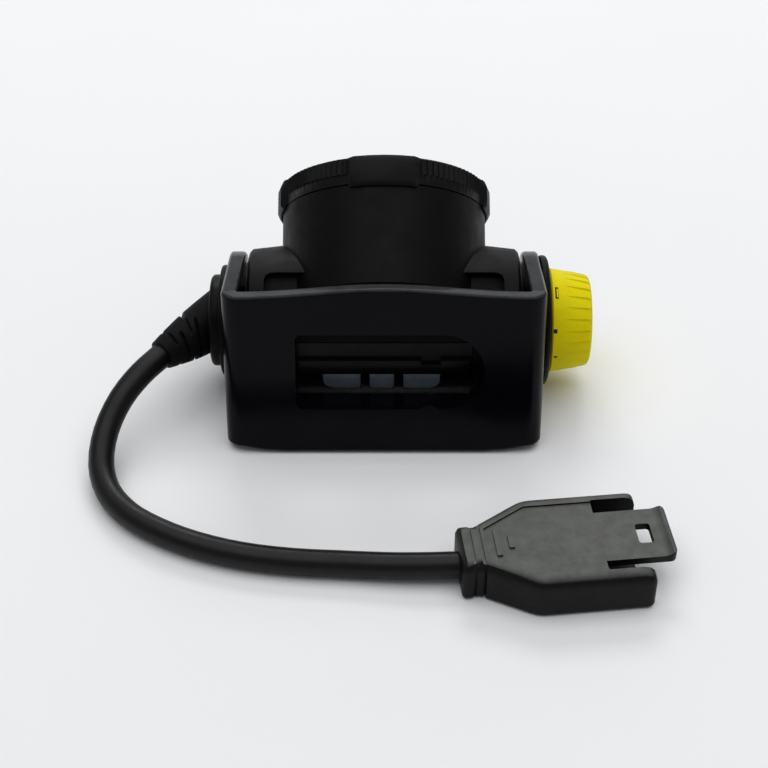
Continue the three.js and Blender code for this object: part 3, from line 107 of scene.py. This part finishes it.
# The stage
FLOOR_COLOR = (0.925, 0.93, 0.935)
FLOOR_COLOR_2 = (0.915, 0.92, 0.93)
FLOOR_HALF = 3.0
WORLD_COLOR = (0.93, 0.95, 1.0)
WORLD_STRENGTH = 0.25
LIT_PLACE = Vector((0, -20, 20)) * MM
# Name, place and size in metres, power in watts
LIGHTS = (
    ("overhead", (0, -0.05, 1.6), (2.4, 1.8), 19.6),
    ("back", (0, 0.9, 0.8), (0.6, 0.35), 4),
    ("low_back", (0, 1.2, 0.42), (1.6, 0.35), 2.2),
    ("left", (-0.8, 0.3, 0.3), (0.6, 0.5), 0.15),
    ("right", (0.8, 0.3, 0.3), (0.6, 0.5), 0.15),
)


# ---------------------------------------------------------------- camera and cable
def add_object(name, data):
    made = bpy.data.objects.new(name, data)
    bpy.context.scene.collection.objects.link(made)
    return made


def make_camera():
    data = bpy.data.cameras.new("camera")
    data.sensor_width = SENSOR_MM
    data.lens = LENS_MM
    camera = add_object("camera", data)
    camera.location = CAMERA_PLACE
    camera.rotation_euler = (CAMERA_PITCH, 0, 0)
    bpy.context.scene.camera = camera


def smooth_route(points, steps):
    """Centripetal Catmull-Rom points through the route, as in the part's source."""
    knots = [Vector(p) * MM for p in points]
    ends = [2 * knots[0] - knots[1], *knots, 2 * knots[-1] - knots[-2]]
    route = []
    for i in range(1, len(ends) - 2):
        p0, p1, p2, p3 = ends[i - 1 : i + 3]
        d1, d2, d3 = (
            math.sqrt((b - a).length) for a, b in ((p0, p1), (p1, p2), (p2, p3))
        )
        m1 = ((p1 - p0) / d1 - (p2 - p0) / (d1 + d2) + (p2 - p1) / d2) * d2
        m2 = ((p2 - p1) / d2 - (p3 - p1) / (d2 + d3) + (p3 - p2) / d3) * d2
        for s in range(steps):
            t = s / steps
            a = 2 * t**3 - 3 * t**2 + 1
            b = t**3 - 2 * t**2 + t
            c = -2 * t**3 + 3 * t**2
            d = t**3 - t**2
            route.append(a * p1 + b * m1 + c * p2 + d * m2)
    route.append(knots[-1])
    # Both ends run on into the strain relief and the plug.
    first = route[0] + (route[0] - route[1]).normalized() * CORD_ENTRY
    last = route[-1] + (route[-1] - route[-2]).normalized() * CORD_ENTRY
    return [first, *route, last]


def make_cord(material):
    route = smooth_route(CORD_ROUTE, CORD_STEPS)
    curve = bpy.data.curves.new("cable", "CURVE")
    curve.dimensions = "3D"
    curve.bevel_depth = CORD_DIAMETER / 2
    curve.bevel_resolution = CORD_ROUNDNESS
    curve.use_fill_caps = True
    spline = curve.splines.new("POLY")
    spline.points.add(len(route) - 1)
    for point, place in zip(spline.points, route):
        point.co = (*place, 1)
    spline.use_smooth = True
    curve.materials.append(material)
    cord = add_object("cable", curve)
    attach(cord, "bracket")
    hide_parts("cord")


# ---------------------------------------------------------------- materials
def scaled(color, share):
    return tuple(share * c for c in color)


class Finish:
    """A Principled material with short calls for its nodes."""

    def __init__(self, name, color, roughness, metallic=0.0, level=0.5):
        self.material = bpy.data.materials.new(name)
        self.material.use_nodes = True
        self.tree = self.material.node_tree
        self.shader = self.tree.nodes["Principled BSDF"]
        self.color = (*color, 1)
        self.set("Base Color", self.color)
        self.set("Roughness", roughness)
        self.set("Metallic", metallic)
        self.set("Specular IOR Level", level)
        self.place = self.node("ShaderNodeTexCoord").outputs["Object"]

    def set(self, name, value):
        self.shader.inputs[name].default_value = value

    def node(self, kind, **settings):
        made = self.tree.nodes.new(kind)
        for key, value in settings.items():
            setattr(made, key, value)
        return made

    def feed(self, value, socket):
        """Gives a socket a plain value, or links it to another node's output."""
        if isinstance(value, (int, float, tuple)):
            socket.default_value = value
        else:
            self.tree.links.new(value, socket)

    def noise(self, size_mm, detail=2.0, rough=0.5, stretch=None):
        """Noise whose grains are about size_mm across."""
        made = self.node("ShaderNodeTexNoise")
        made.inputs["Scale"].default_value = 1 / (size_mm * MM)
        made.inputs["Detail"].default_value = detail
        made.inputs["Roughness"].default_value = rough
        source = self.place
        if stretch:
            mapping = self.node("ShaderNodeMapping")
            mapping.inputs["Scale"].default_value = stretch
            self.feed(source, mapping.inputs["Vector"])
            source = mapping.outputs["Vector"]
        self.feed(source, made.inputs["Vector"])
        return made.outputs["Fac"]

    def cells(self, size_mm):
        made = self.node("ShaderNodeTexVoronoi")
        made.inputs["Scale"].default_value = 1 / (size_mm * MM)
        self.feed(self.place, made.inputs["Vector"])
        return made.outputs["Distance"]

    def spread(self, value, low, high, from_low=0.3, from_high=0.7):
        made = self.node("ShaderNodeMapRange")
        made.inputs["From Min"].default_value = from_low
        made.inputs["From Max"].default_value = from_high
        made.inputs["To Min"].default_value = low
        made.inputs["To Max"].default_value = high
        self.feed(value, made.inputs["Value"])
        return made.outputs["Result"]

    def math(self, operation, *values):
        made = self.node("ShaderNodeMath", operation=operation)
        for socket, value in zip(made.inputs, values):
            self.feed(value, socket)
        return made.outputs["Value"]

    def mix(self, factor, a, b):
        made = self.node("ShaderNodeMix", data_type="RGBA")
        self.feed(factor, made.inputs["Factor"])
        for name, value in (("A", a), ("B", b)):
            self.feed(value, next(s for s in made.inputs if s.name == name and s.type == "RGBA"))
        return next(s for s in made.outputs if s.type == "RGBA")

    def parts(self, vector):
        made = self.node("ShaderNodeSeparateXYZ")
        self.feed(vector, made.inputs["Vector"])
        return made.outputs

    def vary_roughness(self, value, low, high):
        self.feed(self.spread(value, low, high), self.shader.inputs["Roughness"])

    def vary_color(self, value, other):
        mottled = self.mix(self.spread(value, 0, 1), self.color, (*other, 1))
        self.feed(mottled, self.shader.inputs["Base Color"])
        return mottled

    def paint_top_sheen(self, color, sheen_grey, low, high, start_mm=-1.0, full_mm=0.0):
        """Paints a highlight on what faces up: a dull, mottled grey mixed in from one height to
        another.
        """
        normal = self.node("ShaderNodeTexCoord").outputs["Normal"]
        facing = self.spread(self.parts(normal)["Z"], 0, 1, low, high)
        height = self.spread(self.parts(self.place)["Z"], 0, 1, start_mm * MM, full_mm * MM)
        grains = self.spread(self.noise(2.5, 4, 0.6), 0.6, 1)
        sheen_mask = self.math("MULTIPLY", self.math("MULTIPLY", facing, height), grains)
        self.feed(self.mix(sheen_mask, color, (*sheen_grey, 1)), self.shader.inputs["Base Color"])

    def bump(self, height, strength, distance_mm):
        made = self.node("ShaderNodeBump")
        made.inputs["Strength"].default_value = strength
        made.inputs["Distance"].default_value = distance_mm * MM
        self.feed(height, made.inputs["Height"])
        self.feed(made.outputs["Normal"], self.shader.inputs["Normal"])


def gloss_black():
    finish = Finish("gloss_black", (0.0012, 0.0010, 0.0024), 0.16, level=0.08)
    finish.vary_roughness(finish.noise(9, 4, 0.6), 0.13, 0.24)
    mottled = finish.vary_color(finish.noise(14, 3), (0.0022, 0.0020, 0.0034))
    # Painted highlight on the rim: up-facing edges 13 to 22 mm high are lightened to a mottled
    # grey
    finish.paint_top_sheen(mottled, PAINTED_EDGE_SHEEN, 0.3, 0.95, SHEEN_START_MM, SHEEN_FULL_MM)
    finish.bump(finish.noise(1.6, 2), 0.08, 0.02)
    return finish.material


def grained(name, color, grain_mm, strength, roughness, level, tops=None):
    """Moulded plastic with a fine grain, with a painted sheen on what faces up where a colour
    for that is given.
    """
    finish = Finish(name, color, roughness[0], level=level)
    grain = finish.noise(grain_mm, 3, 0.6)
    cells = finish.cells(grain_mm * 1.6)
    finish.vary_roughness(finish.noise(5, 3), *roughness)
    mottled = finish.vary_color(finish.noise(grain_mm * 2.5, 3), scaled(color, 1.7))
    if tops:
        # Painted sheen: faces that point up are lightened to the given grey
        finish.paint_top_sheen(mottled, tops, 0.7, 0.98)
    finish.bump(finish.math("ADD", grain, finish.math("MULTIPLY", cells, 0.6)), strength, 0.06)
    return finish.material


def rubber(name, color, roughness, level):
    finish = Finish(name, color, roughness[0], level=level)
    finish.vary_roughness(finish.noise(3, 4, 0.6), *roughness)
    finish.vary_color(finish.noise(6, 4), scaled(color, 1.6))
    finish.bump(finish.noise(0.35, 3, 0.6), 0.2, 0.03)
    return finish.material


def metal(name, color, roughness, stretch, metallic=1.0):
    finish = Finish(name, color, roughness, metallic)
    brushed = finish.noise(0.5, 3, 0.6, stretch)
    finish.vary_roughness(brushed, roughness * 0.8, roughness * 1.4)
    finish.vary_color(finish.noise(2, 3), scaled(color, 0.8))
    finish.bump(brushed, 0.15, 0.01)
    return finish.material


def plain(name, color, roughness):
    finish = Finish(name, color, roughness)
    finish.vary_roughness(finish.noise(3, 3), roughness * 0.85, roughness * 1.2)
    finish.vary_color(finish.noise(3.6, 3), scaled(color, 0.86))
    finish.bump(finish.noise(0.6, 2), 0.1, 0.02)
    return finish.material


def glass(name):
    finish = Finish(name, (0.97, 0.985, 1.0), 0.02)
    finish.set("Transmission Weight", 1.0)
    finish.set("IOR", 1.49)
    finish.vary_roughness(finish.noise(4, 3), 0.01, 0.05)
    return finish.material


def knob_yellow():
    finish = Finish("knob_yellow", KNOB_YELLOW, 0.42, level=0.05)
    finish.vary_roughness(finish.noise(3, 3), 0.36, 0.5)
    place = finish.parts(finish.place)
    height = finish.math("SUBTRACT", place["Z"], HINGE.z)
    depth = finish.math("SUBTRACT", place["Y"], HINGE.y)
    angle = finish.math("ARCTAN2", height, depth)
    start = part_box("switch_knob")[0].x

    def band(value, centre, half):
        offset = finish.math("ABSOLUTE", finish.math("SUBTRACT", value, centre))
        return finish.math("LESS_THAN", offset, half)

    ink = 0.0
    for x_mm, turn, half_mm, half_turn, inked in KNOB_MARKS:
        along = band(place["X"], start + x_mm * MM, half_mm * MM)
        around = band(angle, turn * DEG, half_turn * DEG)
        mark = finish.math("MULTIPLY", along, around)
        ink = finish.math("MAXIMUM" if inked else "SUBTRACT", ink, mark)
    mottled = finish.vary_color(finish.noise(4, 4), KNOB_YELLOW_WORN)
    finish.feed(finish.mix(ink, mottled, (*MARK_INK, 1)), finish.shader.inputs["Base Color"])
    finish.bump(finish.noise(0.4, 3), 0.1, 0.02)
    return finish.material


# ---------------------------------------------------------------- dressing the CAD nodes
def dress(node, material, bevel_mm):
    piece = frame["nodes"][node]
    mesh = piece.data
    mesh.materials.clear()
    mesh.materials.append(material)
    if mesh.has_custom_normals:
        with bpy.context.temp_override(object=piece, active_object=piece, mesh=mesh):
            bpy.ops.mesh.customdata_custom_splitnormals_clear()
    mesh.polygons.foreach_set("use_smooth", [True] * len(mesh.polygons))
    weld = piece.modifiers.new("weld", "WELD")
    weld.merge_threshold = WELD_DISTANCE
    flat = piece.modifiers.new("flat", "DECIMATE")
    flat.decimate_type = "DISSOLVE"
    flat.angle_limit = FLAT_ANGLE
    if bevel_mm:
        bevel = piece.modifiers.new("bevel", "BEVEL")
        bevel.width = bevel_mm * MM
        bevel.segments = BEVEL_SEGMENTS
        bevel.limit_method = "ANGLE"
        bevel.angle_limit = EDGE_ANGLE
    split = piece.modifiers.new("split", "EDGE_SPLIT")
    split.split_angle = EDGE_ANGLE
    shade = piece.modifiers.new("shade", "WEIGHTED_NORMAL")
    shade.keep_sharp = True


# ---------------------------------------------------------------- stage and light
def make_light(name, place, size, power):
    data = bpy.data.lights.new(name, "AREA")
    data.shape = "RECTANGLE"
    data.size, data.size_y = size
    data.energy = power
    lamp = add_object(name, data)
    lamp.location = place
    lamp.rotation_euler = (LIT_PLACE - Vector(place)).to_track_quat("-Z", "Y").to_euler()


def make_floor():
    mesh = bpy.data.meshes.new("floor")
    corners = ((-1, -1), (1, -1), (1, 1), (-1, 1))
    mesh.from_pydata([(x * FLOOR_HALF, y * FLOOR_HALF, 0) for x, y in corners], [], [range(4)])
    floor = add_object("floor", mesh)
    finish = Finish("floor", FLOOR_COLOR, 1.0, level=0.0)
    finish.vary_color(finish.noise(60, 3), FLOOR_COLOR_2)
    mesh.materials.append(finish.material)


def make_world():
    world = bpy.data.worlds.new("world")
    bpy.context.scene.world = world
    world.use_nodes = True
    background = world.node_tree.nodes["Background"]
    background.inputs["Color"].default_value = (*WORLD_COLOR, 1)
    background.inputs["Strength"].default_value = WORLD_STRENGTH


# Name, colour, grain in mm, depth of the grain, roughness, specular level, painted top sheen
GRAINED = (
    ("matt_black", (0.0018, 0.0019, 0.002), 0.22, 0.12, (0.36, 0.5), 0.08),
    ("ring_black", (0.003, 0.0032, 0.0034), 0.22, 0.15, (0.4, 0.55), 0.1),
    ("cover_black", (0.0018, 0.0019, 0.002), 0.22, 0.05, (0.24, 0.32), 0.12),
    ("grained_black", (0.0018, 0.0018, 0.0018), 0.3, 0.25, (0.42, 0.58), 0.1),
    ("plug_black", (0.003, 0.003, 0.0028), 0.35, 0.3, (0.4, 0.52), 0.16, PAINTED_TOP_SHEEN),
)
MATERIALS = {
    "gloss_black": gloss_black(),
    **{row[0]: grained(*row) for row in GRAINED},
    "black_rubber": rubber("black_rubber", (0.003, 0.003, 0.0034), (0.55, 0.72), 0.1),
    "cable_jacket": rubber("cable_jacket", (0.0022, 0.0022, 0.0021), (0.36, 0.48), 0.25),
    "knob_yellow": knob_yellow(),
    "bare_aluminium": metal("bare_aluminium", (0.31, 0.37, 0.44), 0.4, (1, 1, 0.1), 0.2),
    "washer_steel": metal("washer_steel", (0.45, 0.46, 0.48), 0.35, (1, 1, 1)),
    "contact_brass": metal("contact_brass", (0.72, 0.56, 0.26), 0.3, (1, 0.1, 1)),
    "board_green": plain("board_green", (0.03, 0.12, 0.06), 0.4),
    "white_plastic": plain("white_plastic", (0.8, 0.8, 0.78), 0.45),
    "clear_lens": glass("clear_lens"),
}

# Node, material, bevel in mm
DRESSING = (
    ("bracket", "gloss_black", 0.0),
    ("head_housing", "grained_black", 0.35),
    ("rear_cover", "cover_black", 0.25),
    ("heat_sink", "bare_aluminium", 0.15),
    ("led_board", "white_plastic", 0.1),
    ("led_emitter", "clear_lens", 0.1),
    ("driver_board", "board_green", 0.1),
    ("lens_carrier", "matt_black", 0.2),
    ("focus_lens", "clear_lens", 0.0),
    ("lens_clip", "washer_steel", 0.1),
    ("front_window", "clear_lens", 0.1),
    ("window_seal", "black_rubber", 0.1),
    ("front_bezel", "matt_black", 0.2),
    ("focus_seal", "black_rubber", 0.0),
    ("focus_ring", "ring_black", 0.0),
    ("right_trunnion", "matt_black", 0.45),
    ("left_trunnion", "matt_black", 0.2),
    ("right_washer", "matt_black", 0.1),
    ("left_washer", "matt_black", 0.1),
    ("rotary_switch", "matt_black", 0.2),
    ("left_cover_screw", "washer_steel", 0.1),
    ("right_cover_screw", "washer_steel", 0.1),
    ("switch_knob", "knob_yellow", 0.0),
    ("knob_shaft", "contact_brass", 0.1),
    ("gland_boss", "matt_black", 0.4),
    ("gland_nut", "matt_black", 0.3),
    ("strain_relief", "black_rubber", 0.0),
    ("plug_lower_shell", "plug_black", 0.3),
    ("plug_upper_shell", "plug_black", 0.5),
    ("latch_tongue", "plug_black", 0.25),
    ("contact_carrier", "white_plastic", 0.2),
    ("contact_1", "contact_brass", 0.1),
    ("contact_2", "contact_brass", 0.1),
)

bpy.context.scene.view_settings.view_transform = "Standard"
make_camera()
make_cord(MATERIALS["cable_jacket"])
for node, material, bevel_mm in DRESSING:
    dress(node, MATERIALS[material], bevel_mm)
make_floor()
make_world()
for light in LIGHTS:
    make_light(*light)
